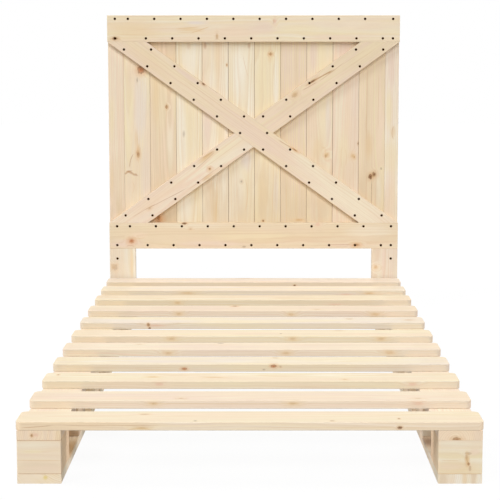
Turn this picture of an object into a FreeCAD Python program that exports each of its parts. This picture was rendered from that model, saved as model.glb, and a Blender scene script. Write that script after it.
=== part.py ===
import FreeCAD, Part
import math
import os

# Pine bed frame: a slatted deck on two runners of boards and blocks, with a braced plank headboard.
# Millimetres, +Z up, foot end towards -Y, headboard towards +Y, left is -X seen from the foot end.
# The origin is on the floor, at the centre of the footprint.

# Deck slats, laid across the bed. Their places are shares of the way that a slat can travel.
bed_width = 1000.0
deck_length = 2000.0
slat_width = 97.0
slat_thickness = 18.0
slat_overhang = 3.0
slat_corner_round = 14.0
slat_round = 0.8
slat_travel_shares = [0, 0.101, 0.204, 0.304, 0.401, 0.497, 0.603, 0.706, 0.807, 0.903, 0.994]

# Runners: boards above and below a row of blocks. Each board is half the deck's length.
runner_width = 95.0
runner_board_thickness = 21.0
runner_board_round = 1.0
block_length = 135.0
block_height = 75.0
block_chamfer = 1.0
blocks_per_runner = 7

# Headboard: upright planks behind a front layer of rails, braces and leg boards.
headboard_height = 1040.0
plank_thickness = 20.0
front_board_thickness = 20.0
rail_width = 90.0
under_rail_height = 237.0
leg_width = 90.0
brace_width = 78.0
left_edge_plank_width = 53.0
right_edge_plank_width = 47.0
full_planks = 10
plank_round = 1.5
front_board_round = 1.2

# Panel screws: countersunk, through the front boards into the planks, and up into the slats.
panel_head_radius = 4.3
panel_head_depth = 3.0
panel_shank_radius = 2.0
wood_beyond_tip = 5.0
rail_screw_edge = 12.0
upper_screw_inset = 18.0
lower_screw_inset = 11.0
brace_screw_rows = 11
brace_screw_margin = 26.0
brace_screw_spread = 93.0
leg_screw_drop = 35.0
slat_screw_spread = 45.0
slat_screw_share = 0.25

# Structural screws: long ones that hold the blocks and the headboard.
long_head_radius = 6.0
long_head_depth = 4.5
long_shank_radius = 3.0
headboard_screw_bite = 50.0
block_screw_share = 0.25
headboard_screw_height_shares = [0.3, 0.7]

# Drive recess and fit, the same on every screw
head_sink = 0.5
hole_clearance = 0.1
hole_overrun = 2.0
recess_arm_share = 0.6
recess_slot_share = 0.24
recess_depth_share = 0.55
tip_length_share = 2.0

# Heights and places worked out from the sizes above
half_width = bed_width / 2
slat_length = bed_width + 2 * slat_overhang
total_length = deck_length + front_board_thickness + plank_thickness
foot_y = -total_length / 2
head_y = foot_y + deck_length
middle_y = foot_y + deck_length / 2
plank_y = head_y + front_board_thickness
back_y = plank_y + plank_thickness
block_z = runner_board_thickness
top_board_z = block_z + block_height
slat_z = top_board_z + runner_board_thickness
top_rail_z = headboard_height - rail_width
bottom_rail_top_z = under_rail_height + rail_width
runner_centre_x = half_width - runner_width / 2
block_pitch = (deck_length - block_length) / (blocks_per_runner - 1)
full_plank_pitch = (bed_width - left_edge_plank_width - right_edge_plank_width) / full_planks

# The braces' lean: one edge of a brace starts in a corner of the panel and its other edge
# ends in the opposite corner.
panel_height = top_rail_z - bottom_rail_top_z
panel_middle_z = (top_rail_z + bottom_rail_top_z) / 2
panel_diagonal = math.hypot(bed_width, panel_height)
brace_lean = math.atan2(panel_height, bed_width) + math.asin(brace_width / panel_diagonal)
brace_end_length = brace_width / math.sin(brace_lean)

panel_screw_length = front_board_thickness + plank_thickness - wood_beyond_tip
slat_screw_length = runner_board_thickness + slat_thickness - wood_beyond_tip
block_screw_length = slat_z - wood_beyond_tip
headboard_screw_length = front_board_thickness + plank_thickness + headboard_screw_bite

parallel_cosine = math.cos(math.radians(1))
along_x = FreeCAD.Vector(1, 0, 0)
along_y = FreeCAD.Vector(0, 1, 0)
up = FreeCAD.Vector(0, 0, 1)
into_headboard = along_y
out_of_headboard = -along_y


def board(corner, size, grain, radius):
    """A planed board from its lowest corner, with the four edges along its grain rounded."""
    blank = Part.makeBox(size[0], size[1], size[2], corner)
    return eased(blank, grain, radius)


def eased(blank, direction, radius):
    """Rounds every edge that runs along one direction."""
    edges = []
    for edge in blank.Edges:
        run = edge.tangentAt(edge.FirstParameter)
        if abs(run.dot(direction)) > parallel_cosine:
            edges.append(edge)
    return blank.makeFillet(radius, edges)


def prism(outline):
    """A front-layer board cut to an outline of (x, z) points."""
    points = [FreeCAD.Vector(x, head_y, z) for x, z in outline]
    face = Part.Face(Part.makePolygon(points + points[:1]))
    return face.extrude(along_y * front_board_thickness)


def turned(profile):
    """A solid of revolution about Z from (radius, height) points, the first and last on the axis."""
    points = [FreeCAD.Vector(radius, 0, height) for radius, height in profile]
    face = Part.Face(Part.makePolygon(points + points[:1]))
    return face.revolve(FreeCAD.Vector(0, 0, 0), up)


def screw(head_radius, head_depth, shank_radius, length):
    """A countersunk screw pointing up: its flat head lies in the plane z = 0."""
    tip_length = shank_radius * tip_length_share
    body = turned([
        (0, 0),
        (head_radius, 0),
        (shank_radius, head_depth),
        (shank_radius, length - tip_length),
        (0, length),
    ])
    arm = head_radius * recess_arm_share
    slot = head_radius * recess_slot_share
    depth = head_depth * recess_depth_share
    one_way = Part.makeBox(2 * arm, slot, depth, FreeCAD.Vector(-arm, -slot / 2, 0))
    other_way = Part.makeBox(slot, 2 * arm, depth, FreeCAD.Vector(-slot / 2, -arm, 0))
    return body.cut([one_way, other_way])


def hole(head_radius, head_depth, shank_radius, length):
    """The hole of a screw: countersink and pilot with clearance, open to the wood's surface."""
    mouth = head_radius + hole_clearance
    bore = shank_radius + hole_clearance
    return turned([
        (0, -head_sink - hole_overrun),
        (mouth, -head_sink - hole_overrun),
        (mouth, 0),
        (bore, head_depth),
        (bore, length + hole_clearance),
        (0, length + hole_clearance),
    ])


def driven(shape, place, direction):
    """A copy of a screw or hole, its head sunk below the surface at place and pointing along direction."""
    copy = shape.copy()
    copy.Placement = FreeCAD.Placement(place + direction * head_sink, FreeCAD.Rotation(up, direction))
    return copy


def driven_at_all(shape, places, direction):
    return [driven(shape, place, direction) for place in places]


def drilled(wood, holes):
    """The wood less the holes that reach it."""
    near = [one for one in holes if one.BoundBox.intersect(wood.BoundBox)]
    return wood.cut(near) if near else wood


# Places of the screws


def edge_plank_centres():
    return [-half_width + left_edge_plank_width / 2, half_width - right_edge_plank_width / 2]


def full_plank_left(index):
    return -half_width + left_edge_plank_width + index * full_plank_pitch


def rail_screw_places():
    """Two rows on each rail: every plank takes one screw in the upper row and one in the lower row."""
    upper = [full_plank_left(index) + upper_screw_inset for index in range(full_planks)]
    lower = [full_plank_left(index + 1) - lower_screw_inset for index in range(full_planks)]
    places = []
    for rail_z in (under_rail_height, top_rail_z):
        for x in upper + edge_plank_centres():
            places.append(FreeCAD.Vector(x, head_y, rail_z + rail_width - rail_screw_edge))
        for x in lower + edge_plank_centres():
            places.append(FreeCAD.Vector(x, head_y, rail_z + rail_screw_edge))
    return places


def brace_screw_places():
    """Level pairs down both braces. The crossing's own pair is in the full brace only."""
    row_step = (panel_height - 2 * brace_screw_margin) / (brace_screw_rows - 1)
    middle_row = (brace_screw_rows - 1) / 2
    places = []
    for row in range(brace_screw_rows):
        rise = (middle_row - row) * row_step
        reach = rise / math.tan(brace_lean)
        centres = [-reach] if row == middle_row else [-reach, reach]
        for centre in centres:
            for side in (-1, 1):
                x = centre + side * brace_screw_spread / 2
                places.append(FreeCAD.Vector(x, head_y, panel_middle_z + rise))
    return places


def leg_screw_places():
    z = under_rail_height - leg_screw_drop
    return [FreeCAD.Vector(x, head_y, z) for x in edge_plank_centres()]


def slat_front(share):
    return foot_y + share * (deck_length - slat_width)


def slat_screw_places():
    """Two from below at each slat end, set diagonally, so that a slat over a joint holds both boards."""
    places = []
    for share in slat_travel_shares:
        centre_y = slat_front(share) + slat_width / 2
        for runner in (-1, 1):
            for turn in (-1, 1):
                x = runner * runner_centre_x + turn * slat_screw_spread / 2
                y = centre_y + turn * slat_width * slat_screw_share
                places.append(FreeCAD.Vector(x, y, top_board_z))
    return places


def block_front(index):
    return foot_y + index * block_pitch


def block_screw_places():
    """Two from below through each block, each side of its middle."""
    places = []
    for index in range(blocks_per_runner):
        centre_y = block_front(index) + block_length / 2
        for runner in (-1, 1):
            for turn in (-1, 1):
                y = centre_y + turn * block_length * block_screw_share
                places.append(FreeCAD.Vector(runner * runner_centre_x, y, 0))
    return places


def headboard_screw_places():
    """From behind, through edge plank and leg board into the last block."""
    places = []
    for x in edge_plank_centres():
        for share in headboard_screw_height_shares:
            places.append(FreeCAD.Vector(x, back_y, block_z + share * block_height))
    return places


# Screws and their holes

panel_sizes = (panel_head_radius, panel_head_depth, panel_shank_radius)
long_sizes = (long_head_radius, long_head_depth, long_shank_radius)

screw_sets = {
    "rail_screws": (panel_sizes, panel_screw_length, rail_screw_places(), into_headboard),
    "brace_screws": (panel_sizes, panel_screw_length, brace_screw_places(), into_headboard),
    "leg_screws": (panel_sizes, panel_screw_length, leg_screw_places(), into_headboard),
    "slat_screws": (panel_sizes, slat_screw_length, slat_screw_places(), up),
    "block_screws": (long_sizes, block_screw_length, block_screw_places(), up),
    "headboard_screws": (long_sizes, headboard_screw_length, headboard_screw_places(), out_of_headboard),
}


def screw_group(name):
    sizes, length, places, direction = screw_sets[name]
    return Part.makeCompound(driven_at_all(screw(*sizes, length), places, direction))


def holes_of(*names):
    holes = []
    for name in names:
        sizes, length, places, direction = screw_sets[name]
        holes += driven_at_all(hole(*sizes, length), places, direction)
    return holes


slat_holes = holes_of("slat_screws")
block_holes = holes_of("block_screws")
headboard_holes = holes_of("headboard_screws")
panel_holes = holes_of("rail_screws", "brace_screws", "leg_screws")


# Deck and runners


def slat(share):
    """Its corners are well rounded in plan, and the rims of its top and underside a little."""
    corner = FreeCAD.Vector(-slat_length / 2, slat_front(share), slat_z)
    blank = Part.makeBox(slat_length, slat_width, slat_thickness, corner)
    blank = eased(blank, up, slat_corner_round)
    rims = [edge for edge in blank.Edges if edge.BoundBox.ZLength < slat_thickness / 2]
    return drilled(blank.makeFillet(slat_round, rims), slat_holes)


def runner_board(side, start_y, z):
    corner = FreeCAD.Vector(side * runner_centre_x - runner_width / 2, start_y, z)
    size = (runner_width, deck_length / 2, runner_board_thickness)
    blank = board(corner, size, along_y, runner_board_round)
    return drilled(blank, slat_holes + block_holes)


def block(side, index):
    corner = FreeCAD.Vector(side * runner_centre_x - runner_width / 2, block_front(index), block_z)
    blank = Part.makeBox(runner_width, block_length, block_height, corner)
    blank = blank.makeChamfer(block_chamfer, blank.Edges)
    return drilled(blank, block_holes + headboard_holes)


# Headboard


def plank(left_x, right_x, bottom_z):
    corner = FreeCAD.Vector(left_x, plank_y, bottom_z)
    size = (right_x - left_x, plank_thickness, headboard_height - bottom_z)
    return drilled(board(corner, size, up, plank_round), panel_holes + headboard_holes)


def edge_plank_left():
    return plank(-half_width, full_plank_left(0), 0)


def edge_plank_right():
    return plank(full_plank_left(full_planks), half_width, 0)


def full_plank(index):
    return plank(full_plank_left(index), full_plank_left(index + 1), under_rail_height)


def rail(z):
    corner = FreeCAD.Vector(-half_width, head_y, z)
    blank = board(corner, (bed_width, front_board_thickness, rail_width), along_x, front_board_round)
    return drilled(blank, panel_holes)


def leg_board(left_x):
    corner = FreeCAD.Vector(left_x, head_y, 0)
    size = (leg_width, front_board_thickness, under_rail_height)
    return drilled(board(corner, size, up, front_board_round), panel_holes + headboard_holes)


def brace_run(side):
    """The direction of a brace that falls towards the right (side 1) or the left (side -1)."""
    return FreeCAD.Vector(side * math.cos(brace_lean), 0, -math.sin(brace_lean))


def full_brace():
    """From the top left corner to the bottom right corner, its ends cut along the rails."""
    outline = [
        (-half_width, top_rail_z),
        (-half_width + brace_end_length, top_rail_z),
        (half_width, bottom_rail_top_z),
        (half_width - brace_end_length, bottom_rail_top_z),
    ]
    return drilled(eased(prism(outline), brace_run(1), front_board_round), panel_holes)


def half_brace(side):
    """A short brace from a corner to the full brace's edge: side 1 is the upper right one, -1 the lower left one."""
    crossing_rise = panel_height / 2 - (half_width - brace_end_length) * math.tan(brace_lean)
    offsets = [
        (half_width, panel_height / 2),
        (half_width - brace_end_length, panel_height / 2),
        (0, crossing_rise),
        (brace_end_length / 2, 0),
    ]
    outline = [(side * x, panel_middle_z + side * rise) for x, rise in offsets]
    return drilled(eased(prism(outline), brace_run(-1), front_board_round), panel_holes)


# Every sub-part, by its node's name


def all_nodes():
    nodes = {}
    for number, share in enumerate(slat_travel_shares, 1):
        nodes[f"slat_{number:02d}"] = slat(share)
    for side_name, side in (("left", -1), ("right", 1)):
        for end_name, start_y in (("foot", foot_y), ("head", middle_y)):
            nodes[f"top_board_{end_name}_{side_name}"] = runner_board(side, start_y, top_board_z)
            nodes[f"bottom_board_{end_name}_{side_name}"] = runner_board(side, start_y, 0)
        for index in range(blocks_per_runner):
            nodes[f"block_{side_name}_{index + 1}"] = block(side, index)
    nodes["edge_plank_left"] = edge_plank_left()
    for index in range(full_planks):
        nodes[f"plank_{index + 1:02d}"] = full_plank(index)
    nodes["edge_plank_right"] = edge_plank_right()
    nodes["top_rail"] = rail(top_rail_z)
    nodes["bottom_rail"] = rail(under_rail_height)
    nodes["leg_board_left"] = leg_board(-half_width)
    nodes["leg_board_right"] = leg_board(half_width - leg_width)
    nodes["brace_full"] = full_brace()
    nodes["brace_upper_half"] = half_brace(1)
    nodes["brace_lower_half"] = half_brace(-1)
    for name in screw_sets:
        nodes[name] = screw_group(name)
    return nodes


os.makedirs("parts", exist_ok=True)
for node_name, shape in all_nodes().items():
    shape.exportStep(os.path.join("parts", node_name + ".step"))
    print(node_name, len(shape.Solids), round(shape.Volume), shape.isValid())
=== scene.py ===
"""Looks of the pine bed frame: eleven slats on two runners, and a headboard of planks with a cross of braces."""
import math

import bpy
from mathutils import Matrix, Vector


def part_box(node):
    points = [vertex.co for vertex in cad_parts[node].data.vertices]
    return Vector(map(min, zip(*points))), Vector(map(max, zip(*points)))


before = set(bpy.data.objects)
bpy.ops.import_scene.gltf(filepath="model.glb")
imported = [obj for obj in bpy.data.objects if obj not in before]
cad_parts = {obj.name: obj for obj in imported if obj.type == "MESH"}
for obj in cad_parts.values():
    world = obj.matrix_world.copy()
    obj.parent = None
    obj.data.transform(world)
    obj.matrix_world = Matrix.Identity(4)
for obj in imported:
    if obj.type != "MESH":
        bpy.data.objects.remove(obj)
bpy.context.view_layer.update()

MM = 0.001


class Value:
    """A number that changes over a surface. Arithmetic on it adds the Math nodes that work it out."""

    def __init__(self, nodes, socket):
        self.nodes = nodes
        self.socket = socket

    def maths(self, operation, *numbers):
        node = self.nodes.node("ShaderNodeMath", {"operation": operation}, dict(enumerate(numbers)))
        return Value(self.nodes, node.outputs[0])

    def __add__(self, other):
        return self.maths("ADD", self, other)

    def __radd__(self, other):
        return self.maths("ADD", other, self)

    def __sub__(self, other):
        return self.maths("SUBTRACT", self, other)

    def __rsub__(self, other):
        return self.maths("SUBTRACT", other, self)

    def __mul__(self, other):
        return self.maths("MULTIPLY", self, other)

    def __rmul__(self, other):
        return self.maths("MULTIPLY", other, self)

    def __truediv__(self, other):
        return self.maths("DIVIDE", self, other)

    def __rtruediv__(self, other):
        return self.maths("DIVIDE", other, self)

    def __abs__(self):
        return self.maths("ABSOLUTE", self)

    def part_of_ring(self):
        return self.maths("FRACT", self)

    def whole(self):
        return self.maths("FLOOR", self)

    def root(self):
        return self.maths("SQRT", self)

    def least(self, other):
        return self.maths("MINIMUM", self, other)

    def ramp(self, start, end):
        """0 at start and 1 at end, with a soft rise between, in either direction."""
        low, high, out = (start, end, (0, 1)) if start < end else (end, start, (1, 0))
        values = {"Value": self, "From Min": low, "From Max": high, "To Min": out[0], "To Max": out[1]}
        node = self.nodes.node("ShaderNodeMapRange", {"interpolation_type": "SMOOTHSTEP"}, values)
        return Value(self.nodes, node.outputs["Result"])


class Nodes:
    """The nodes of one material or of the studio's surround."""

    def __init__(self, owner):
        owner.use_nodes = True
        self.tree = owner.node_tree
        self.tree.nodes.clear()

    def node(self, kind, settings=None, values=None):
        """Adds a node: its settings first, then the numbers, tones or links of its sockets."""
        node = self.tree.nodes.new(kind)
        node.location = (200 * (len(self.tree.nodes) % 12), -220 * (len(self.tree.nodes) // 12))
        for name, setting in (settings or {}).items():
            setattr(node, name, setting)
        for name, value in (values or {}).items():
            self.feed(node, name, value)
        return node

    def feed(self, node, name, value):
        if isinstance(name, int):
            socket = node.inputs[name]
        else:
            socket = next(s for s in node.inputs if name in (s.identifier, s.name))
        value = value.socket if isinstance(value, Value) else value
        if isinstance(value, bpy.types.NodeSocket):
            self.tree.links.new(value, socket)
        else:
            socket.default_value = value

    def vector(self, operation, *terms):
        node = self.node("ShaderNodeVectorMath", {"operation": operation}, dict(enumerate(terms)))
        if operation in ("DOT_PRODUCT", "LENGTH"):
            return Value(self, node.outputs["Value"])
        return node.outputs["Vector"]

    def noise(self, place, size, seed, detail=2.0, rough=0.5, coloured=False):
        """Soft noise whose patches are about as long, wide and deep as size, in mm."""
        place = self.vector("MULTIPLY_ADD", place, tuple(1 / (s * MM) for s in size), tuple(seed))
        values = {"Vector": place, "Scale": 1.0, "Detail": detail, "Roughness": rough}
        node = self.node("ShaderNodeTexNoise", {"noise_dimensions": "3D"}, values)
        if coloured:
            parts = self.node("ShaderNodeSeparateXYZ", values={0: node.outputs["Color"]})
            return [Value(self, s) for s in parts.outputs]
        return Value(self, node.outputs[0])

    def mix(self, amount, under, over):
        """Lays the tone over on the tone under, by amount."""
        values = {"Factor_Float": amount, "A_Color": under, "B_Color": over}
        node = self.node("ShaderNodeMix", {"data_type": "RGBA"}, values)
        return next(s for s in node.outputs if s.identifier == "Result_Color")

    def plain_background(self):
        """1 for the rays that should see plain white: the camera's own, mirrored and refracted ones."""
        path = self.node("ShaderNodeLightPath").outputs
        kinds = ("Camera", "Glossy", "Transmission")
        camera, mirrored, refracted = (Value(self, path[f"Is {kind} Ray"]) for kind in kinds)
        return camera, (camera + mirrored + refracted).least(1)


class Finish(Nodes):
    """One procedural finish of the bed."""

    def __init__(self, name, **shader):
        self.material = bpy.data.materials.new(name)
        super().__init__(self.material)
        self.surface = self.node("ShaderNodeBsdfPrincipled", values=shader)
        self.node("ShaderNodeOutputMaterial", values={"Surface": self.surface.outputs[0]})

    def set(self, **sockets):
        for name, value in sockets.items():
            self.feed(self.surface, name.replace("_", " "), value)


def tone(red, green, blue):
    """A screen colour, 0 to 255, as the linear tone that a shader takes."""
    def linear(level):
        level /= 255
        return level / 12.92 if level <= 0.04045 else ((level + 0.055) / 1.055) ** 2.4
    return (linear(red), linear(green), linear(blue), 1.0)


# Tones of bare pine, from the palest sapwood to the shade between fibres, and tones painted on as shade
IVORY = tone(246, 238, 220)
CREAM = tone(243, 231, 206)
BUTTER = tone(243, 228, 192)
STRAW = tone(240, 224, 188)
PEACH = tone(241, 219, 193)
ROSE = tone(236, 214, 196)
LILAC = tone(234, 222, 214)
HONEY = tone(237, 211, 168)
SAND = tone(231, 210, 180)
AMBER = tone(226, 192, 142)
LATE_WOOD = tone(218, 186, 146)
# Painted shade, laid on faces that take less light
PAINTED_SHADE = tone(220, 199, 166)
END_WOOD = tone(208, 172, 150)
FIBRE_SHADE = tone(207, 178, 146)
# Painted shade along the lowest line of a board's sides
UNDERSIDE_SHADE = tone(182, 166, 148)
SEAM_SHADE = tone(136, 86, 56)
CRACK = tone(140, 98, 62)
RESIN = tone(184, 132, 84)
# A grey stain on one plank; on the legs and on the slat tops near the headboard it is painted shade
GREY_STAIN_AND_SHADE = tone(204, 190, 170)
# Painted shadow on a runner board's top, under the deck
PAINTED_SHADOW = tone(166, 138, 114)
BLUSH = tone(255, 232, 210)
YELLOW = tone(236, 214, 140)
# Tones of one place: painted shade on the slats' two ends and on the second block, under the deck, and the runners'
# pale foot ends
LEFT_END_SHADE = tone(212, 201, 178)
RIGHT_END_SHADE = tone(215, 206, 190)
FOOT_END = tone(255, 228, 190)
UNDER_DECK_SHADE = tone(186, 156, 124)

# What a knot is made of: its heart, its rim, its pith, the stain round it, and how strong each is
KNOTS = {
    "red": dict(heart=tone(190, 122, 80), core=0.9, rim=0.5, pith=0.15, stain=tone(224, 176, 130), halo=0.6),
    "brown": dict(heart=tone(186, 134, 84), core=0.65, rim=0.5, pith=0.6, stain=tone(226, 186, 138), halo=0.6),
    "dark": dict(heart=tone(112, 72, 40), core=0.9, rim=0.7, pith=0.5, stain=tone(214, 172, 124), halo=0.55),
    "grey": dict(heart=tone(176, 158, 134), core=0.6, rim=0.25, pith=0.2, stain=tone(222, 200, 170), halo=0.25),
    "faint": dict(heart=tone(208, 172, 130), core=0.6, rim=0.2, pith=0.1, stain=tone(230, 200, 160), halo=0.35),
    "honey": dict(heart=tone(226, 190, 140), core=0.6, rim=0.0, pith=0.12, stain=tone(232, 202, 156), halo=0.35),
    "pink": dict(heart=tone(230, 190, 162), core=0.6, rim=0.0, pith=0.0, stain=tone(236, 206, 180), halo=0.3),
}
KNOT_RIM = tone(118, 72, 42)

# How long, wide and deep the wood's own marks are, in mm
RAGGED_SIZE = (9, 4, 4)
WANDER_SIZE = (420, 60, 60)
SHIVER_SIZE = (90, 14, 14)
BLOTCH_SIZE = (330, 45, 45)
FIBRE_SIZE = (45, 0.9, 0.9)
PORE_SIZE = (16, 0.55, 0.55)
CLOUD_SIZE = (120, 22, 22)
# How far the rings wander and shiver, and how far a knot bends them for each mm of its size
RING_WANDER = 16 * MM
RING_SHIVER = 1.6 * MM
KNOT_BEND = 1.2 * MM
# How ragged the outlines of knots and patches are, as a share of their size
KNOT_RAGGED = 1.5
PATCH_RAGGED = 1.1
# How strongly each mark colours the wood, and how strong and deep its bump is
BLOTCH_SHARE = 0.7
FIBRE_SHARE = 0.2
PORE_SHARE = 0.22
LATE_WOOD_ON_ENDS = 0.18
GRAIN_BUMP = 0.35
GRAIN_DEPTH = 0.35 * MM
# Each piece of wood has a number of its own, from which its figure follows. The slats have theirs from 1 on
RUNNER_BOARDS_FROM = 20
BLOCKS_FROM = {"left": 30, "right": 40}
PLANKS_FROM = 60
RAILS_FROM = 80
LEGS_FROM = 84
BRACES_FROM = 90
SEED_STEP = Vector((7.13, 3.71, 5.37))

ACROSS_BED = Vector((1, 0, 0))
DOWN_BED = Vector((0, 1, 0))
UP = Vector((0, 0, 1))
FRONT = Vector((0, -1, 0))


def patch(along, across, half_along, half_across, shade, amount=0.7, through=0, half_through=60):
    """A broad soft patch of another tone."""
    return ((along, across, through), (half_along, half_across, half_through), shade, amount)


def streak(along, across, half_along, half_width, shade, amount=0.6, lean=0.0, bow=0.0, on_edge=False):
    """A fine line along the grain. lean is its rise per mm of length, bow how far its ends curve off, in mm.
    on_edge puts it on the board's narrow side, where across counts through the thickness."""
    return (along, across, half_along, half_width, shade, amount, lean, bow, on_edge)


def pine(name, number, grain, across, through, tones, heart=(20, -60), drift=(8, 5), ring=4.5, lines=0.42, knots=(),
         patches=(), streaks=(), seams=(0, 0), underside=0.0, ends=0.1, middle=None, half=None):
    """A board's own pine. heart is where the tree's centre lies from the board's middle, across and through, in mm,
    and drift how far that moves in each metre. knots are (along, across, through, half sizes, kind), in mm.
    seams darken the two long edges: dark joints where planks butt against a neighbour, and painted shade on a
    brace's upper edge. underside is painted shade on the lowest line of its sides, and ends darken its sawn ends."""
    if middle is None:
        low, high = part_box(name)
        middle = (low + high) / 2
        size = high - low
        half = [abs(size.dot(axis)) / 2 for axis in (grain, across, through)]
    wood = Finish(name + "_pine", **{"IOR": 1.45, "Specular IOR Level": 0.2})
    seed = SEED_STEP * number
    place = wood.node("ShaderNodeTexCoord").outputs["Object"]
    from_middle = wood.vector("SUBTRACT", place, tuple(middle))
    along, over, deep = (wood.vector("DOT_PRODUCT", from_middle, tuple(axis)) for axis in (grain, across, through))
    board = wood.node("ShaderNodeCombineXYZ", values={0: along, 1: over, 2: deep}).outputs[0]

    def distance(centre, halves):
        """From 0 at an ellipsoid's centre to 1 at its skin, and on beyond it."""
        scale = tuple(1 / (h * MM) for h in halves)
        shift = tuple(-c / h for c, h in zip(centre, halves))
        return wood.vector("LENGTH", wood.vector("MULTIPLY_ADD", board, scale, shift))

    # Knots bend the rings round them, so they come first
    marks = []
    bend = 0.0
    ragged = wood.noise(board, RAGGED_SIZE, seed, detail=4.0, rough=0.65)
    for *sizes, kind in knots:
        away = distance(sizes[:3], sizes[3:]) + (ragged - 0.5) * KNOT_RAGGED
        marks.append((away, kind))
        bend = bend + away.ramp(3.6, 0.3) * (min(sizes[3:]) * KNOT_BEND)

    # Growth rings, seen as figure on the faces and as arcs on the ends
    wander = wood.noise(board, WANDER_SIZE, seed, coloured=True)
    shiver = wood.noise(board, SHIVER_SIZE, seed + Vector((2, 0, 4)), detail=1.0)
    beside = over + (wander[0] - 0.5) * RING_WANDER - along * (drift[0] * MM) - heart[0] * MM
    under = deep + (wander[1] - 0.5) * RING_WANDER - along * (drift[1] * MM) - heart[1] * MM
    radius = (beside * beside + under * under).root() + (shiver - 0.5) * RING_SHIVER + bend
    rings = radius / (ring * MM)
    year = wood.node("ShaderNodeTexWhiteNoise", {"noise_dimensions": "1D"}, {"W": rings.whole() + number * 0.37})
    strength = Value(wood, year.outputs["Value"]) * 0.8 + 0.2
    season = rings.part_of_ring()
    late = season.ramp(0.25, 0.85) * season.ramp(1.0, 0.85) * strength

    # Slow changes of tone, fibres and pores
    decade = rings * 0.3 + number * 1.7
    years = wood.node("ShaderNodeTexNoise", {"noise_dimensions": "1D"}, {"W": decade, "Detail": 1.0})
    band = Value(wood, years.outputs[0]).ramp(0.3, 0.7)
    blotch = wood.noise(board, BLOTCH_SIZE, seed + Vector((5, 1, 8))).ramp(0.34, 0.7)
    fibres = wood.noise(board, FIBRE_SIZE, seed + Vector((1, 6, 3)), detail=3.0, rough=0.6)
    pores = wood.noise(board, PORE_SIZE, seed + Vector((9, 2, 1)), detail=1.0).ramp(0.68, 0.78)
    cloudy = wood.noise(board, CLOUD_SIZE, seed + Vector((3, 9, 2)), detail=3.0, rough=0.6)

    # 1 on the sawn ends, 0 on the other faces
    facing = wood.node("ShaderNodeTexCoord").outputs["Normal"]
    end = abs(wood.vector("DOT_PRODUCT", facing, tuple(grain))).ramp(0.6, 0.95)

    light, warm, blush = tones
    colour = wood.mix(band, light, warm)
    colour = wood.mix(blotch * BLOTCH_SHARE, colour, blush)
    for centre, halves, shade, amount in patches:
        away = distance(centre, halves) + (cloudy - 0.5) * PATCH_RAGGED
        colour = wood.mix(away.ramp(1.15, 0.25) * amount, colour, shade)
    colour = wood.mix(late * (lines + LATE_WOOD_ON_ENDS * end), colour, LATE_WOOD)
    colour = wood.mix(fibres.ramp(0.45, 0.8) * FIBRE_SHARE, colour, FIBRE_SHADE)
    colour = wood.mix(pores * (PORE_SHARE - PORE_SHARE * end), colour, FIBRE_SHADE)
    colour = wood.mix(end * ends, colour, END_WOOD)
    for at_along, at_across, half_along, half_width, shade, amount, lean, bow, on_edge in streaks:
        from_here = along - at_along * MM
        share = from_here / (half_along * MM)
        line = (deep if on_edge else over) - at_across * MM - from_here * lean - share * share * (bow * MM)
        thickness = abs(line + (shiver - 0.5) * (2.5 * half_width * MM)).ramp(half_width * MM, 0.2 * half_width * MM)
        colour = wood.mix(thickness * abs(share).ramp(1.0, 0.55) * amount * (ragged + 0.4).least(1), colour, shade)
    raised = fibres * 0.5 + late * 0.6
    rough = 0.55 + fibres * 0.14 + end * 0.15 - late * 0.08
    for away, kind in marks:
        knot = KNOTS[kind]
        colour = wood.mix(away.ramp(2.8, 0.6) * knot["halo"], colour, knot["stain"])
        core = away.ramp(1.25, 0.25)
        colour = wood.mix((core * (ragged * 1.2 + 0.35) * knot["core"]).least(1), colour, knot["heart"])
        if knot["pith"]:
            pith = away.ramp(0.75, 0.1) * ragged.ramp(0.3, 0.55) * knot["pith"]
            colour = wood.mix(pith, colour, KNOT_RIM)
        if knot["rim"]:
            rim = away.ramp(0.45, 0.9) * away.ramp(1.3, 0.95) * cloudy.ramp(0.42, 0.6)
            colour = wood.mix(rim * knot["rim"], colour, KNOT_RIM)
            raised = raised - rim * 1.2
            rough = rough - core * 0.12
    for amount, side in zip(seams, (-1, 1)):
        if amount:
            colour = wood.mix((over * side).ramp(half[1] - 1.4 * MM, half[1] - 0.4 * MM) * amount, colour, SEAM_SHADE)
    if underside:
        colour = wood.mix(deep.ramp(1.8 * MM - half[2], 0.9 * MM - half[2]) * underside, colour, UNDERSIDE_SHADE)
    bump = wood.node("ShaderNodeBump", values={"Strength": GRAIN_BUMP, "Distance": GRAIN_DEPTH, "Height": raised})
    wood.set(Base_Color=colour, Roughness=rough, Normal=bump.outputs[0])
    return wood.material


def dress(name, finish):
    """Gives a CAD node its finish."""
    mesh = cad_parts[name].data
    mesh.materials.clear()
    mesh.materials.append(finish)


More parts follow.
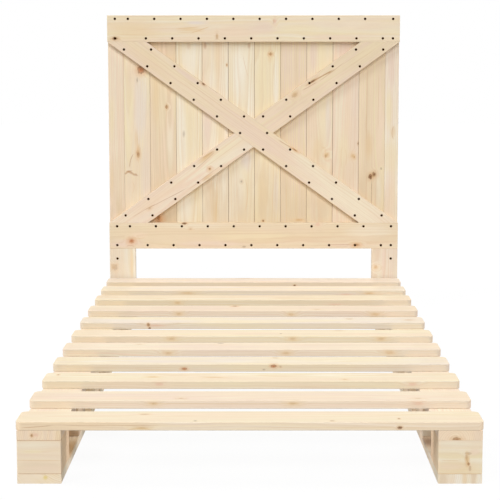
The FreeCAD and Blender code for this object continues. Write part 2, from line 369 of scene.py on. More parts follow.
# Deck slats, counted from the foot end. Their marks are the ones that show on the front edge and the top
FRONT_EDGE, SLAT_TOP = -48.5, 9
SLATS = {
    1: dict(tones=(CREAM, STRAW, PEACH), heart=(10, -35), lines=0.36, streaks=[
        streak(-455, -0.5, 38, 0.9, RESIN, 0.8, lean=0.07, on_edge=True),
        streak(-300, 2.4, 130, 0.9, RESIN, 0.6, on_edge=True), streak(-90, 5, 110, 1.2, ROSE, 0.8, on_edge=True),
        streak(-235, -5, 30, 1.5, AMBER, 0.7, bow=-3, on_edge=True),
        streak(200, -3, 260, 0.9, AMBER, 0.6, on_edge=True),
        streak(-232, 20, 34, 1.6, AMBER, 0.6)], patches=[
        patch(-440, FRONT_EDGE, 230, 6, HONEY, 0.8), patch(420, FRONT_EDGE, 170, 6, HONEY, 0.2)], knots=[
        (321.9, FRONT_EDGE, -2.8, 4.3, 9, 2.6, "dark"), (322.9, -17.9, SLAT_TOP, 2.6, 4, 3, "brown"),
        (-229.5, 19.7, SLAT_TOP, 8.7, 4.4, 4, "faint"), (-116.9, -35.1, SLAT_TOP, 3.2, 4.3, 3, "grey"),
        (177.7, -35.1, SLAT_TOP, 4.3, 4.3, 3, "faint"), (-231, FRONT_EDGE, -3.4, 12.9, 8, 3.2, "honey")]),
    2: dict(tones=(CREAM, PEACH, ROSE), heart=(-15, -50), streaks=[
        streak(-158, -24, 20, 1.8, RESIN, 0.55, bow=5), streak(-50, 12, 40, 1.6, AMBER, 0.6),
        streak(-60, 3, 240, 0.9, AMBER, 0.5, on_edge=True)], knots=[
        (-220, FRONT_EDGE, 3.2, 11.4, 10, 4.5, "honey"), (382, FRONT_EDGE, 3.2, 13.6, 10, 4.5, "pink"),
        (97, FRONT_EDGE, 3.2, 13.6, 10, 4.5, "honey"), (-158.5, -22.3, SLAT_TOP, 6.9, 5.8, 4, "faint"),
        (383.8, -23.3, SLAT_TOP, 9.1, 4.8, 4, "faint")]),
    3: dict(tones=(CREAM, STRAW, PEACH), heart=(25, -60), streaks=[
        streak(-95, 0, 34, 2.2, RESIN, 0.5, lean=-0.22), streak(-60, -10, 24, 2, AMBER, 0.6, lean=-0.1),
        streak(-220, 4, 60, 1.5, HONEY, 0.7), streak(60, -3, 300, 0.9, AMBER, 0.4, on_edge=True)], knots=[
        (-220, FRONT_EDGE, 3, 12, 10, 4.8, "pink"), (388.6, FRONT_EDGE, 3, 12, 10, 4.8, "pink"),
        (-90.9, -1.8, SLAT_TOP, 19.5, 5, 4, "honey"), (-238.3, 1.7, SLAT_TOP, 12.2, 9, 4, "honey"),
        (-472.2, 25.8, SLAT_TOP, 2.9, 4.5, 3, "brown"), (227.5, -24.7, SLAT_TOP, 7.3, 6.5, 4, "honey")]),
    4: dict(tones=(CREAM, STRAW, LILAC), heart=(-5, -45), streaks=[
        streak(-320, 1, 150, 1.1, LATE_WOOD, 0.6, on_edge=True),
        streak(-250, -4, 60, 1.1, AMBER, 0.6, lean=-0.05, on_edge=True),
        streak(250, 2, 220, 1.0, LATE_WOOD, 0.5, on_edge=True)], knots=[
        (-169.2, FRONT_EDGE, -2, 6.3, 12, 3.3, "red"), (56.9, FRONT_EDGE, 5, 6.3, 12, 3.8, "red"),
        (74.4, FRONT_EDGE, 3.1, 3, 6, 2.5, "faint"), (31.8, FRONT_EDGE, -3.8, 3.8, 6, 1.8, "grey"),
        (61.7, 32.7, SLAT_TOP, 7.8, 4.9, 3, "faint")]),
    5: dict(tones=(CREAM, PEACH, ROSE), heart=(15, -55), knots=[
        (-221.4, FRONT_EDGE, 0, 13.3, 10, 5.3, "honey"), (91.4, FRONT_EDGE, 0, 13.3, 10, 5.3, "honey"),
        (366.4, FRONT_EDGE, 1.4, 13.3, 10, 5.3, "honey"), (-303.8, 26.7, SLAT_TOP, 8.1, 4, 3, "faint"),
        (-84.9, 37.6, SLAT_TOP, 8.1, 5, 3, "grey")]),
    6: dict(tones=(CREAM, STRAW, PEACH), heart=(-20, -50), knots=[
        (-223.2, FRONT_EDGE, 2.2, 13.9, 10, 5.6, "honey"), (112.6, FRONT_EDGE, 2.2, 13.9, 10, 5.6, "honey"),
        (358.6, FRONT_EDGE, 2.2, 13.9, 10, 5.6, "honey"), (80.8, -7.2, SLAT_TOP, 3.4, 6, 3, "grey"),
        (244.4, 34, SLAT_TOP, 11.3, 5, 3, "faint")]),
    7: dict(tones=(CREAM, STRAW, LILAC), heart=(5, -40), knots=[
        (-281.6, FRONT_EDGE, 1.5, 29.2, 12, 4.4, "pink"), (-302.6, FRONT_EDGE, 4.1, 3.5, 8, 4.4, "brown"),
        (-299.2, FRONT_EDGE, -6.6, 2.9, 8, 2.3, "dark"), (286.2, 15.1, SLAT_TOP, 8.9, 6.5, 3, "faint"),
        (459.9, 0.6, SLAT_TOP, 11.8, 8, 3, "faint")]),
    8: dict(tones=(CREAM, PEACH, ROSE), heart=(30, -60), knots=[
        (-225.2, FRONT_EDGE, 0.4, 12.2, 10, 6.1, "honey"), (116.8, FRONT_EDGE, -1.5, 12.2, 10, 6.1, "honey"),
        (372.8, FRONT_EDGE, -1.5, 15.3, 10, 6.1, "honey"), (-55.9, 34.3, SLAT_TOP, 8.7, 7, 4, "brown"),
        (196.7, -18.4, SLAT_TOP, 12.3, 6, 3, "faint")]),
    9: dict(tones=(CREAM, STRAW, PEACH), heart=(-10, -50), knots=[
        (-239.4, FRONT_EDGE, 0.9, 12.7, 10, 6.4, "honey"), (260.8, FRONT_EDGE, -4.6, 22.3, 10, 3.2, "pink")]),
    10: dict(tones=(LILAC, CREAM, BUTTER), heart=(20, -45), knots=[
        (-217.5, FRONT_EDGE, 1.5, 26.4, 10, 5, "honey"), (381.7, FRONT_EDGE, 0.8, 19.8, 10, 5, "honey"),
        (305.4, FRONT_EDGE, -3.2, 19.8, 10, 3.3, "pink")]),
    11: dict(tones=(LILAC, CREAM, PEACH), heart=(0, -60), knots=[
        (140.2, FRONT_EDGE, -1.5, 4.1, 10, 2.7, "dark"), (-29.8, 39.9, SLAT_TOP, 31.2, 8, 4, "faint")]),
}
# How much painted shade darkens the front edge of a slat all along and its top near the headboard, and, at the
# two ends over the runners, its front and its top
FRONT_SHADE = {3: 0.05, 4: 0.3, 6: 0.1, 7: 0.15, 8: 0.05, 9: 0.45, 10: 0.3, 11: 0.6}
TOP_SHADE = {8: 0.1, 9: 0.06, 10: 0.18, 11: 0.12}
FRONT_BLUSH = {1: 0.3, 2: 0.3}
FIRST_END_SHADE, END_SHADE = 0.1, 0.62
TOP_END_SHADE = 0.3
LAST_SHADED_TOP = 9
PAST_SLAT, EDGE_DEPTH = 1500, 6
TOP_MIDDLE, TOP_HALF, ABOVE_TOP, TOP_DEPTH = 5, 70, 12, 14


def slat_shades(number):
    """The broad patches of a slat: painted shade on its front edge, its top and its ends, and a blush on the first
    two fronts.
    """
    shades = [patch(0, FRONT_EDGE, PAST_SLAT, EDGE_DEPTH, shade, amounts[number])
              for shade, amounts in ((PAINTED_SHADE, FRONT_SHADE), (BLUSH, FRONT_BLUSH)) if number in amounts]
    if number in TOP_SHADE:
        shades.append(patch(0, TOP_MIDDLE, PAST_SLAT, TOP_HALF, GREY_STAIN_AND_SHADE, TOP_SHADE[number], ABOVE_TOP, TOP_DEPTH))
    end_shade_amount = FIRST_END_SHADE if number == 1 else END_SHADE
    shades += [patch(end, FRONT_EDGE, 145, EDGE_DEPTH, shade, end_shade_amount)
               for end, shade in ((-485, LEFT_END_SHADE), (485, RIGHT_END_SHADE))]
    if number <= LAST_SHADED_TOP:
        shades += [patch(end, TOP_MIDDLE, 90, TOP_HALF, PAINTED_SHADE, TOP_END_SHADE, ABOVE_TOP, TOP_DEPTH)
                   for end in (-500, 500)]
    return shades


for number, look in SLATS.items():
    name = f"slat_{number:02d}"
    look["patches"] = look.get("patches", []) + slat_shades(number)
    look = {"lines": 0.3, "ring": 3.8 + 0.23 * (number % 4), "underside": 0.4, **look}
    dress(name, pine(name, number, ACROSS_BED, DOWN_BED, UP, **look))

# Runners: boards lie along the bed, blocks have their grain across it. FOOT is a front board's sawn foot end
FOOT = -500
RUNNER_LOOKS = {
    "top_board_foot_left": dict(tones=(CREAM, PEACH, ROSE), heart=(150, -20), patches=[
        patch(FOOT, 0, 40, 140, FOOT_END, 0.45), patch(FOOT, -28, 30, 8, PEACH, 0.8),
        patch(FOOT, 14, 30, 5, PEACH, 0.8), patch(FOOT, 27, 30, 5, PEACH, 0.8), patch(FOOT, 42, 30, 8, HONEY, 0.5)],
        knots=[(FOOT, -7, 1, 40, 7.5, 4.6, "pink"), (FOOT, -14.6, -0.6, 40, 2.4, 3, "brown")]),
    "top_board_foot_right": dict(tones=(CREAM, PEACH, ROSE), heart=(-8, -13), patches=[
        patch(FOOT, 0, 40, 140, FOOT_END, 0.5), patch(FOOT, 38, 30, 14, PEACH, 0.8)],
        knots=[(FOOT, -8.1, -8.5, 60, 8.6, 3.6, "brown")]),
    "top_board_head_left": dict(tones=(CREAM, STRAW, PEACH), heart=(-25, -40)),
    "top_board_head_right": dict(tones=(CREAM, STRAW, PEACH), heart=(30, -50)),
    "bottom_board_foot_left": dict(tones=(IVORY, CREAM, BUTTER), heart=(60, 70), patches=[
        patch(FOOT, 0, 40, 140, FOOT_END, 0.35), patch(FOOT, 13.2, 30, 6.5, YELLOW, 0.9, 3.4, 6.5),
        # The last patch is painted shade, darker and warmer, on the board's top between the first two blocks
        patch(-300, 30, 110, 60, AMBER, 0.85, 10, 12)]),
    "bottom_board_foot_right": dict(tones=(CREAM, CREAM, PEACH), heart=(-90, 15), lines=0.05, patches=[
        patch(FOOT, -38, 30, 14, SAND, 0.9), patch(FOOT, -3, 30, 9, IVORY, 0.9), patch(FOOT, 10, 30, 6, HONEY, 0.6),
        patch(FOOT, 29, 30, 7, SAND, 0.9), patch(FOOT, 42, 30, 6, IVORY, 0.8),
        # Painted shadow on the board's top near the second block, and painted light just behind the first block
        patch(-233, -30, 55, 40, PAINTED_SHADOW, 0.9, 10, 12), patch(-350, -30, 65, 40, IVORY, 0.95, 10, 12)]),
    "bottom_board_head_left": dict(tones=(CREAM, STRAW, SAND), heart=(20, -30)),
    "bottom_board_head_right": dict(tones=(CREAM, PEACH, SAND), heart=(-20, -45)),
}
for number, (name, look) in enumerate(RUNNER_LOOKS.items(), RUNNER_BOARDS_FROM):
    look = {"lines": 0.25, **look}
    dress(name, pine(name, number, DOWN_BED, ACROSS_BED, UP, ring=4.2, ends=0.03, **look))

BLOCK_FRONT = -67.5
BLOCK_LOOKS = {
    "block_left_1": dict(patches=[
        patch(-10, BLOCK_FRONT, 60, 60, CREAM, 0.6, 26, 14), patch(5, BLOCK_FRONT, 60, 60, SAND, 0.6, -22, 16),
        patch(-14, BLOCK_FRONT, 30, 60, BUTTER, 0.8, 12, 5), patch(10, BLOCK_FRONT, 60, 60, PEACH, 0.7, -26, 9),
        # The pale patch at along 47.5 is painted light on the block's inner side
        patch(47.5, 8, 7, 95, FOOT_END, 0.9, 0, 200), patch(0, BLOCK_FRONT, 400, 20, RESIN, 0.55, 37.5, 2.2),
        patch(0, BLOCK_FRONT, 400, 20, RESIN, 0.5, -37.5, 2.2)],
        streaks=[
            streak(0, -8, 60, 1.3, AMBER, 0.6, bow=0.8, on_edge=True),
            streak(-6, 12, 34, 1.2, AMBER, 0.3, on_edge=True)]),
    # The second blocks' fronts under the deck: painted shade on the left one, painted light on the right one
    "block_left_2": dict(patches=[patch(0, BLOCK_FRONT, 120, 30, UNDER_DECK_SHADE, 0.8, -37, 30)]),
    "block_right_2": dict(patches=[patch(0, BLOCK_FRONT, 120, 30, IVORY, 0.95, -37, 30)]),
    "block_right_1": dict(patches=[
        patch(-10, BLOCK_FRONT, 50, 60, CREAM, 0.7, 28, 10), patch(-5, BLOCK_FRONT, 70, 60, HONEY, 0.6, -24, 22),
        patch(30, BLOCK_FRONT, 16, 60, PEACH, 0.9, 12, 10), patch(-20, BLOCK_FRONT, 40, 60, PEACH, 0.6, -22, 9),
        # The pale patch at along -47.5 is painted light on the block's inner side
        patch(15, BLOCK_FRONT, 7, 30, AMBER, 0.8, -6, 22), patch(-47.5, 8, 7, 95, FOOT_END, 0.9, 0, 200),
        patch(0, BLOCK_FRONT, 400, 20, AMBER, 0.5, -37.5, 2.4)], knots=[
        (17, BLOCK_FRONT, 8, 7, 20, 3, "faint"), (13.3, BLOCK_FRONT, 0, 2.2, 20, 5.4, "faint"),
        (17.7, BLOCK_FRONT, -15, 2.4, 20, 3.2, "brown"), (21, BLOCK_FRONT, -25, 2.2, 20, 5, "faint")], streaks=[
        streak(-22, -7, 22, 1.2, AMBER, 0.5, on_edge=True),
        streak(15.5, -7.5, 5, 6, RESIN, 0.45, lean=-3.4, on_edge=True)]),
}
BLOCK_ROWS = 7
for side, first_number in BLOCKS_FROM.items():
    for row in range(1, BLOCK_ROWS + 1):
        name = f"block_{side}_{row}"
        number = first_number + row
        tones = (CREAM, STRAW, PEACH) if row % 2 else (CREAM, SAND, PEACH)
        heart = (20 - 9 * row, -55 + 17 * (row % 3))
        dress(name, pine(name, number, ACROSS_BED, DOWN_BED, UP, tones, heart=heart, ring=8.5, lines=0.2, ends=0.12,
                         **BLOCK_LOOKS.get(name, {})))

# Headboard planks, from the left
PLANKS = {
    "edge_plank_left": dict(tones=(PEACH, CREAM, ROSE), heart=(70, -40), patches=[
        patch(160, -15, 110, 12, STRAW), patch(-60, -17, 90, 9, HONEY), patch(180, 12, 190, 14, PEACH),
        patch(-60, 0, 130, 60, SAND, 0.5)]),
    "plank_01": dict(tones=(CREAM, BUTTER, PEACH), heart=(-30, -50), patches=[
        patch(95, -21, 95, 14, BUTTER, 0.9), patch(85, 13, 160, 32, LILAC, 0.55), patch(-20, -4, 38, 8, AMBER, 0.35),
        patch(-150, 26, 150, 22, LILAC, 0.5), patch(-57, 4, 22, 9, AMBER, 0.5), patch(-185, -18, 26, 18, PEACH, 0.5),
        patch(-110, 0, 120, 60, SAND, 0.3)], streaks=[
        streak(-97, -24, 27, 2.2, RESIN, 0.6, lean=0.26, bow=4), streak(-138, -35, 9, 11, RESIN, 0.6, lean=1.7),
        streak(-141, -18, 11, 11, RESIN, 0.6, lean=-1.6), streak(-190, -12, 24, 1.8, AMBER, 0.4, bow=-9),
        streak(-40, 1, 34, 2, AMBER, 0.45)], knots=[
        (216, 15, 10, 12, 12, 18, "red"), (180, 1, 10, 9, 3, 12, "grey"), (-74, 2, 10, 12, 5.5, 14, "brown")]),
    "plank_02": dict(tones=(PEACH, SAND, STRAW), heart=(30, -70), patches=[
        patch(130, -26, 120, 18, HONEY, 0.6), patch(-40, 24, 140, 15, CREAM, 0.7),
        patch(-230, 0, 90, 30, CREAM, 0.5)], knots=[
        (89, 12, 10, 5.5, 4.5, 14, "brown"), (-299, -17, 10, 13, 12, 18, "red"),
        (-296, -17, 10, 7, 6, 18, "brown")], streaks=[
        streak(60, 11, 60, 2.5, AMBER, 0.4, lean=0.02), streak(-60, -12, 120, 2, AMBER, 0.3),
        streak(-120, 14, 90, 1.6, AMBER, 0.25)]),
    "plank_03": dict(tones=(CREAM, STRAW, IVORY), heart=(0, -45), patches=[
        patch(230, 3, 110, 34, IVORY, 0.6), patch(298, -1, 16, 10, SAND, 0.7), patch(40, -29, 150, 14, IVORY, 0.7),
        patch(5, 2, 150, 15, STRAW, 0.8), patch(-200, 20, 60, 12, BUTTER, 0.8), patch(-250, -15, 60, 24, IVORY, 0.7),
        patch(-5, -19, 17, 6, GREY_STAIN_AND_SHADE, 0.8)],
        knots=[(-175, 8, 10, 9, 6, 12, "honey")]),
    "plank_04": dict(tones=(CREAM, IVORY, PEACH), heart=(-35, -50), patches=[
        patch(230, 10, 130, 15, HONEY, 0.35), patch(30, -28, 80, 18, ROSE, 0.7), patch(20, 16, 110, 18, STRAW, 0.7),
        patch(-235, -6, 70, 12, AMBER, 0.4), patch(-282, -1, 48, 10, HONEY, 0.95),
        patch(-190, 28, 60, 12, IVORY, 0.8),
        patch(299, -34, 14, 6, RESIN, 0.5), patch(260, 0, 80, 60, HONEY, 0.22)], knots=[
        (233, 40, 10, 4, 2.6, 12, "brown")], streaks=[
        streak(-225, -17, 90, 2, AMBER, 0.5, bow=9), streak(-225, 5, 90, 2, AMBER, 0.5, bow=-9),
        streak(190, 30, 120, 1.8, AMBER, 0.35)]),
    "plank_05": dict(tones=(IVORY, CREAM, STRAW), heart=(5, -35), patches=[
        patch(299, 26, 12, 6, RESIN, 0.4), patch(215, -6, 120, 30, IVORY, 0.9), patch(-95, 16, 50, 24, LILAC, 0.7),
        patch(-220, -10, 90, 26, IVORY, 0.8)],
        knots=[(-169, 0, 10, 4.2, 3.5, 14, "grey")], streaks=[
        streak(226, 14, 44, 2, SAND, 0.8, lean=-0.24, bow=2), streak(-216, 20, 70, 2, AMBER, 0.5, bow=-12),
        streak(-240, -18, 60, 1.6, AMBER, 0.3, bow=6)]),
    "plank_06": dict(tones=(CREAM, STRAW, BUTTER), heart=(-40, -60), patches=[
        patch(185, -20, 130, 18, BUTTER, 0.9), patch(165, 29, 130, 12, IVORY, 0.9),
        patch(270, 10, 36, 13, HONEY, 0.6), patch(-215, -16, 110, 24, HONEY, 0.6),
        patch(-215, 29, 90, 13, LILAC, 0.6), patch(-140, 0, 60, 60, SAND, 0.4)], knots=[
        (270, 10, 10, 5, 6, 14, "brown"), (-307, -15, 10, 3.5, 3.5, 10, "dark")], streaks=[
        streak(170, 18, 90, 2, SAND, 0.6, bow=8), streak(-230, 16, 60, 2, AMBER, 0.3, bow=9)]),
    "plank_07": dict(tones=(ROSE, STRAW, SAND), heart=(60, -30), patches=[
        patch(250, -26, 90, 18, ROSE, 0.4), patch(240, 8, 110, 9, SAND, 0.8), patch(-250, -5, 80, 36, STRAW, 0.5)],
        knots=[(-304, 20, 10, 4, 16, 12, "honey")], streaks=[
        streak(-250, -24, 80, 2, AMBER, 0.45), streak(-250, 10, 80, 2, AMBER, 0.35),
        streak(-303, 22, 5, 18, RESIN, 0.35)]),
    "plank_08": dict(tones=(PEACH, CREAM, BUTTER), heart=(20, -55), patches=[
        patch(265, -26, 80, 17, ROSE, 0.8), patch(258, 6, 80, 14, BUTTER, 0.9), patch(30, -22, 110, 18, PEACH, 0.8),
        patch(36, 29, 110, 12, LILAC, 0.5), patch(-60, -6, 50, 26, HONEY, 0.6), patch(-250, -20, 80, 18, ROSE, 0.6),
        # The two broad patches across the whole plank low down are painted shade
        patch(-190, 0, 150, 60, SAND, 0.65), patch(-50, 0, 160, 60, SAND, 0.35)],
        knots=[(-80, 22, 10, 5, 3.6, 16, "brown"), (-76, 27, 10, 9, 7, 12, "honey")], streaks=[
        streak(-66, 20, 22, 5, AMBER, 0.3, bow=-12), streak(10, -38, 90, 1.8, AMBER, 0.35)]),
    "plank_09": dict(tones=(PEACH, CREAM, ROSE), heart=(-55, -45), patches=[
        patch(80, 8, 150, 17, PEACH, 0.8), patch(-130, 0, 80, 60, SAND, 0.35), patch(-60, 0, 170, 60, HONEY, 0.18),
        patch(40, -27, 120, 16, CREAM, 0.6), patch(285, -10, 50, 30, ROSE, 0.7), patch(-60, -5, 70, 30, STRAW, 0.6)],
        knots=[(-84, 30, 10, 5, 3.4, 16, "brown"), (-80, 24, 10, 9, 7, 12, "honey"),
               (-37, 45, 10, 5, 3, 12, "dark")], streaks=[
        streak(-85, -16, 44, 1.8, AMBER, 0.35, bow=8), streak(-85, 4, 40, 1.8, AMBER, 0.35, bow=-10),
        streak(-220, -30, 80, 2, AMBER, 0.4)]),
    "plank_10": dict(tones=(STRAW, PEACH, SAND), heart=(45, -60), patches=[
        patch(95, -14, 190, 12, SAND, 0.8), patch(-45, -10, 60, 16, AMBER, 0.4), patch(0, 27, 140, 13, PEACH, 0.8),
        patch(-200, -25, 100, 16, SAND, 0.8), patch(-215, 24, 90, 14, IVORY, 0.7)],
        knots=[(-145, 9, 10, 8, 7, 18, "dark"), (-153, -3, 10, 8, 6.5, 18, "dark"),
               (-124, 34, 10, 3.5, 2.8, 10, "grey")],
        streaks=[
            streak(95, -18, 150, 2.5, LATE_WOOD, 0.6), streak(110, 22, 120, 2, LATE_WOOD, 0.5),
            streak(-225, 1, 72, 1.1, CRACK, 0.75), streak(-210, -18, 90, 2.4, LATE_WOOD, 0.6),
            streak(-200, 16, 80, 2, LATE_WOOD, 0.4)]),
    "edge_plank_right": dict(tones=(IVORY, CREAM, ROSE), heart=(-60, -35), patches=[
        patch(334, 0, 90, 16, ROSE, 0.8), patch(200, -8, 90, 14, BUTTER, 0.8), patch(121, 6, 28, 11, AMBER, 0.45),
        patch(-80, 4, 160, 14, PEACH, 0.7), patch(40, 0, 70, 60, STRAW, 0.6), patch(-150, 0, 110, 60, HONEY, 0.22)],
        streaks=[streak(118, 2, 26, 2, RESIN, 0.35, bow=8)]),
}
# How dark each joint between two planks looks, from the left
SEAMS = [0.15, 0.4, 0.45, 0.45, 0.7, 0.6, 0.5, 0.5, 0.65, 0.45, 0.12]
# How much painted shade each plank takes towards the bottom rail, where less light falls
LOW_SHADE = [1.0, 0.15, 0.9, 0.2, 0.6, 0.55, 0.55, 0.55, 0.6, 0.25, 0.7, 0.35]
for place, (name, look) in enumerate(PLANKS.items()):
    seams = ([0] + SEAMS + [0])[place:place + 2]
    look["patches"].append(patch(-335, 0, 240, 90, PAINTED_SHADE, LOW_SHADE[place]))
    dress(name, pine(name, PLANKS_FROM + place, UP, ACROSS_BED, FRONT, drift=(6, 14), ring=5.2, lines=0.24,
                     seams=seams, **look))

# Rails, leg boards and braces of the front layer
RAILS = {
    "top_rail": dict(tones=(CREAM, STRAW, PEACH), heart=(5, -60), patches=[
        patch(-420, -6, 130, 44, HONEY, 0.5), patch(-219, -3, 58, 9, HONEY, 0.85), patch(-193, 20, 50, 8, LILAC, 0.9),
        patch(-50, -12, 120, 26, PEACH, 0.9), patch(30, 5, 70, 26, ROSE, 0.7), patch(290, 20, 190, 22, IVORY, 0.2),
        patch(-125, -28, 5, 11, RESIN, 0.45), patch(69, 25, 4, 11, RESIN, 0.4),
        patch(280, -30, 130, 13, PEACH, 0.8), patch(150, 2, 90, 14, BUTTER, 0.7)],
        knots=[(-125, -25, 10, 4, 10, 14, "faint"), (73, 26, 10, 5, 9, 14, "pink"),
               (-473, -34, 10, 9, 5, 12, "dark")],
        streaks=[
            streak(-182, -4, 36, 2, AMBER, 0.8, lean=0.33), streak(-225, 2, 50, 1.8, AMBER, 0.7, lean=0.08),
            streak(-212, -11, 50, 1.6, AMBER, 0.5, lean=0.05), streak(-330, -1, 90, 1.4, AMBER, 0.5),
            streak(-420, -20, 70, 1.5, AMBER, 0.4, bow=-6), streak(75, 22, 4, 14, ROSE, 0.5)]),
    "bottom_rail": dict(tones=(PEACH, CREAM, STRAW), heart=(-15, -50), patches=[
        # The patch over the whole rail is painted shade, as less light falls low on the headboard
        patch(0, 0, 1600, 90, SAND, 0.6), patch(-440, -26, 70, 17, ROSE, 0.8),
        patch(-220, 34, 150, 12, IVORY, 0.35), patch(0, -4, 170, 24, STRAW, 0.6),
        patch(-150, -30, 130, 14, ROSE, 0.7), patch(400, 12, 110, 28, IVORY, 0.4), patch(330, -34, 90, 8, ROSE, 0.7),
        patch(-400, 2, 40, 14, PEACH, 0.9)],
        knots=[(-424, -18, 10, 10, 8, 18, "red"), (-240, 44, 10, 7, 4, 12, "dark"), (-219, 23, 10, 7, 3, 10, "faint"),
               (-33, -38, 10, 6, 3, 10, "grey"), (223, 41, 10, 9, 8, 14, "pink"), (356, -32, 10, 12, 6, 14, "brown")],
        streaks=[
            streak(300, -31, 46, 1.3, RESIN, 0.6), streak(-428, -34, 16, 1.6, RESIN, 0.5, bow=-5),
            streak(-395, -10, 22, 2, AMBER, 0.5, bow=6), streak(-60, 8, 200, 1.2, LATE_WOOD, 0.4),
            streak(120, -8, 200, 1.2, LATE_WOOD, 0.4, lean=0.01)]),
}
for number, (name, look) in enumerate(RAILS.items(), RAILS_FROM):
    dress(name, pine(name, number, ACROSS_BED, UP, FRONT, ring=5, lines=0.28, **look))
# The broad grey patch over each whole leg is painted shade, low on the headboard where less light falls
LEGS = {
    "leg_board_left": dict(tones=(CREAM, IVORY, PEACH), heart=(30, -70), patches=[
        patch(0, 0, 400, 90, GREY_STAIN_AND_SHADE, 0.24), patch(70, 32, 90, 8, HONEY, 0.6)],
        knots=[(52, -31, 10, 10, 11, 14, "faint")], streaks=[streak(62, -30, 4, 14, LATE_WOOD, 0.4)]),
    "leg_board_right": dict(tones=(CREAM, IVORY, ROSE), heart=(-30, -70), patches=[
        patch(0, 0, 400, 90, GREY_STAIN_AND_SHADE, 0.14), patch(72, -2, 70, 9, ROSE, 0.7)],
        knots=[(52, -31, 10, 7, 9, 14, "honey")], streaks=[
        streak(57, -30, 5, 10, RESIN, 0.4, bow=-3), streak(60, 14, 60, 1.4, LATE_WOOD, 0.4)]),
}
for number, (name, look) in enumerate(LEGS.items(), LEGS_FROM):
    dress(name, pine(name, number, UP, ACROSS_BED, FRONT, lines=0.28, **look))

# Along and across a brace, in mm from the middle of the panel
BRACE_RISE = math.atan(0.7191)
DOWN_RIGHT = Vector((math.cos(BRACE_RISE), 0, -math.sin(BRACE_RISE)))
UP_RIGHT = Vector((math.cos(BRACE_RISE), 0, math.sin(BRACE_RISE)))
BRACE_MIDDLE = Vector((0, 0.99, 0.6385))
BRACE_HALF = (2.0, 39 * MM, 10 * MM)
# How much painted shade darkens the upper edge of a brace
FULL_BRACE_EDGE_SHADE, HALF_BRACE_EDGE_SHADE = 0.06, 0.14
BRACES = {
    "brace_full": (DOWN_RIGHT, dict(tones=(PEACH, ROSE, STRAW), heart=(50, -50), patches=[
        patch(-430, -10, 130, 34, HONEY, 0.3), patch(-300, 26, 80, 10, ROSE, 0.8), patch(0, -8, 170, 30, ROSE, 0.4),
        patch(400, 0, 260, 70, CREAM, 0.9), patch(210, 22, 80, 14, CREAM, 0.8)],
        knots=[(-238, 36, 10, 7, 3.6, 14, "dark"), (150, 36, 10, 12, 3.6, 14, "brown")], streaks=[
        streak(120, 33, 44, 2, RESIN, 0.6, lean=0.08), streak(-160, 10, 190, 1.3, LATE_WOOD, 0.5, lean=-0.01),
        streak(-80, -6, 180, 1.2, LATE_WOOD, 0.45), streak(-300, -4, 160, 1.4, LATE_WOOD, 0.4, lean=0.01)])),
    "brace_lower_half": (UP_RIGHT, dict(tones=(PEACH, CREAM, ROSE), heart=(-10, -60), patches=[
        patch(-178, 28, 48, 10, AMBER, 0.8), patch(-235, -26, 50, 9, ROSE, 0.6),
        patch(-220, -30, 26, 8, AMBER, 0.6), patch(-110, 12, 90, 20, STRAW, 0.5),
        patch(-420, 10, 130, 26, PEACH, 0.8)],
        knots=[(-195, -12, 10, 5, 5, 14, "brown"), (-444, -2, 10, 6, 3.4, 14, "faint")], streaks=[
        streak(-380, -9, 95, 1.5, RESIN, 0.6, lean=-0.15, bow=3), streak(-465, 4, 50, 1.4, RESIN, 0.45, lean=-0.1),
        streak(-190, 20, 50, 1.5, RESIN, 0.5, lean=0.1), streak(-215, -26, 90, 1.4, RESIN, 0.4, lean=0.01),
        streak(-225, -12, 30, 2, ROSE, 0.8, lean=0.2), streak(-170, 31, 26, 1.8, RESIN, 0.5, lean=-0.08),
        streak(-130, 2, 120, 1.4, LATE_WOOD, 0.4)])),
    "brace_upper_half": (UP_RIGHT, dict(tones=(PEACH, STRAW, ROSE), heart=(15, -45), patches=[
        # The two broad darker patches on the upper end are painted shade
        patch(480, 0, 160, 60, PAINTED_SHADE, 0.4), patch(200, -6, 120, 40, PAINTED_SHADE, 0.2),
        patch(192, 23, 20, 12, AMBER, 0.6), patch(125, -24, 110, 10, PEACH, 0.9), patch(240, 16, 60, 14, PEACH, 0.7),
        patch(480, 0, 110, 26, STRAW, 0.6)],
        knots=[(192, 24, 10, 11, 8, 14, "faint"), (268, 26, 10, 14, 3.4, 14, "dark")], streaks=[
        streak(296, 22, 62, 3.4, RESIN, 0.8, lean=-0.12), streak(340, 14, 60, 1.6, RESIN, 0.4, lean=0.02),
        streak(250, 18, 34, 2, RESIN, 0.5, lean=-0.1), streak(430, 10, 60, 1.2, LATE_WOOD, 0.5, lean=-0.06),
        streak(450, -8, 60, 1.2, LATE_WOOD, 0.4, lean=-0.04)])),
}
for number, (name, (run, look)) in enumerate(BRACES.items(), BRACES_FROM):
    side = Vector((-run.z, 0, run.x))
    upper_edge_shade = FULL_BRACE_EDGE_SHADE if run is DOWN_RIGHT else HALF_BRACE_EDGE_SHADE
    dress(name, pine(name, number, run, side, FRONT, drift=(10, 8), lines=0.24, middle=BRACE_MIDDLE, half=BRACE_HALF,
                     seams=(0, upper_edge_shade), **look))


SCREW_BLACK = tone(50, 25, 2)
SCREW_BROWN = tone(64, 36, 10)
SCREW_RUBBED = tone(88, 66, 44)


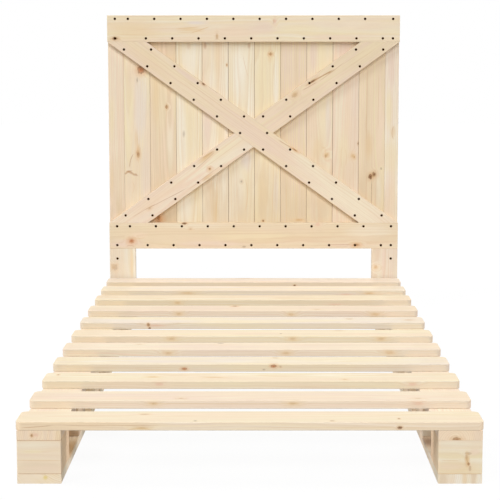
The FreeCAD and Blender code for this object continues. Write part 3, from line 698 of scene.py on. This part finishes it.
def screw_black():
    """Brown-black phosphated steel, dull and a little rubbed."""
    steel = Finish("screw_black", **{"IOR": 1.5, "Specular IOR Level": 0.05})
    place = steel.node("ShaderNodeTexCoord").outputs["Object"]
    cloud = steel.noise(place, (2.5, 2.5, 2.5), (1, 2, 3), detail=3.0)
    scratch = steel.noise(place, (0.25, 3, 0.25), (4, 5, 6)).ramp(0.6, 0.75)
    colour = steel.mix(cloud.ramp(0.35, 0.7), SCREW_BLACK, SCREW_BROWN)
    colour = steel.mix(scratch * 0.3, colour, SCREW_RUBBED)
    bump = steel.node("ShaderNodeBump", values={"Strength": 0.3, "Distance": 0.05 * MM, "Height": cloud})
    steel.set(Base_Color=colour, Roughness=0.62 + cloud * 0.2, Metallic=scratch * 0.3, Normal=bump.outputs[0])
    return steel.material


black = screw_black()
for name in ("rail_screws", "brace_screws", "leg_screws", "slat_screws", "block_screws", "headboard_screws"):
    dress(name, black)

# Studio: a white floor that keeps a faint shadow, and a white surround
FLOOR_RADIUS = 14.0
FLOOR_SIDES = 64
FLOOR_DROP = 0.5 * MM
SHADOW_SHARE = 0.06
FLOOR_LIGHT = (0.5, 0.5, 0.5, 1)
SURROUND_LIGHT = (0.2, 0.19, 0.195, 1)
PAINT_GREY = (0.4, 0.4, 0.4, 1)
WHITE = (1, 1, 1, 1)


def studio_floor():
    """A round floor just under the bed. The camera sees it plain white, but for the bed's shadow."""
    turns = [2 * math.pi * step / FLOOR_SIDES for step in range(FLOOR_SIDES)]
    rim = [(FLOOR_RADIUS * math.cos(turn), FLOOR_RADIUS * math.sin(turn), -FLOOR_DROP) for turn in turns]
    mesh = bpy.data.meshes.new("studio_floor")
    mesh.from_pydata(rim, [], [range(FLOOR_SIDES)])
    floor = bpy.data.objects.new("studio_floor", mesh)
    bpy.context.scene.collection.objects.link(floor)
    paint = bpy.data.materials.new("studio_white")
    nodes = Nodes(paint)
    camera, plain = nodes.plain_background()
    lit = nodes.node("ShaderNodeBsdfDiffuse", values={"Color": nodes.mix(camera, PAINT_GREY, WHITE)})
    glow = nodes.node("ShaderNodeEmission", values={"Color": nodes.mix(plain, FLOOR_LIGHT, WHITE), "Strength": 1.0})
    blend = nodes.node("ShaderNodeMixShader", values={0: 1 - SHADOW_SHARE, 1: lit.outputs[0], 2: glow.outputs[0]})
    nodes.node("ShaderNodeOutputMaterial", values={"Surface": blend.outputs[0]})
    mesh.materials.append(paint)


def studio_surround():
    """A dim surround that the camera sees plain white."""
    world = bpy.data.worlds.new("studio_surround")
    bpy.context.scene.world = world
    nodes = Nodes(world)
    _, plain = nodes.plain_background()
    light = nodes.mix(plain, SURROUND_LIGHT, WHITE)
    glow = nodes.node("ShaderNodeBackground", values={"Color": light, "Strength": 1.0})
    nodes.node("ShaderNodeOutputWorld", values={"Surface": glow.outputs[0]})


def sun(name, strength, softness, direction, colour=(1, 1, 1)):
    """A soft distant lamp that shines along direction. softness is its width in degrees."""
    data = bpy.data.lights.new(name, "SUN")
    data.energy = strength
    data.color = colour
    data.angle = math.radians(softness)
    lamp = bpy.data.objects.new(name, data)
    lamp.rotation_euler = Vector(direction).to_track_quat("-Z", "Y").to_euler()
    bpy.context.scene.collection.objects.link(lamp)
    return lamp


studio_floor()
studio_surround()
sun("front_key", 1.2, 26, (-0.05, 1.0, -0.64))
sun("upper_left", 1.18, 22, (1.17, 1.0, -1.4), (0.95, 0.98, 1.0))
sun("low_right", 0.26, 20, (-0.6, 1.0, -0.35))
sun("overhead", 0.88, 60, (0.0, -0.4, -1.0), (0.81, 0.97, 1.0))
sun("left_side", 1.0, 10, (1.0, -0.05, -0.35), (1.0, 0.88, 0.88))
sun("right_side", 0.9, 10, (-1.0, -0.05, -0.35), (1.0, 0.88, 0.86))
# Seen mirrored along the deck, this one would burn the far slats out
sun("back_fill", 1.2, 6, (0.0, -1.0, -0.32)).visible_glossy = False

# The photo's camera: level sideways, looking a little down from beyond the foot end
SENSOR, LENS = 36, 106.62
SHIFT_ACROSS, SHIFT_UP = -0.0202, -0.06
CAMERA_PLACE = (0.02245, -4.11899, 0.93434)
LOOKS_DOWN = 6.682


def photo_camera():
    data = bpy.data.cameras.new("camera")
    data.sensor_width, data.lens = SENSOR, LENS
    data.shift_x, data.shift_y = SHIFT_ACROSS, SHIFT_UP
    camera = bpy.data.objects.new("camera", data)
    camera.location = CAMERA_PLACE
    camera.rotation_euler = (math.radians(90 - LOOKS_DOWN), 0, 0)
    bpy.context.scene.collection.objects.link(camera)
    bpy.context.scene.camera = camera


photo_camera()
bpy.context.scene.view_settings.view_transform = "Standard"
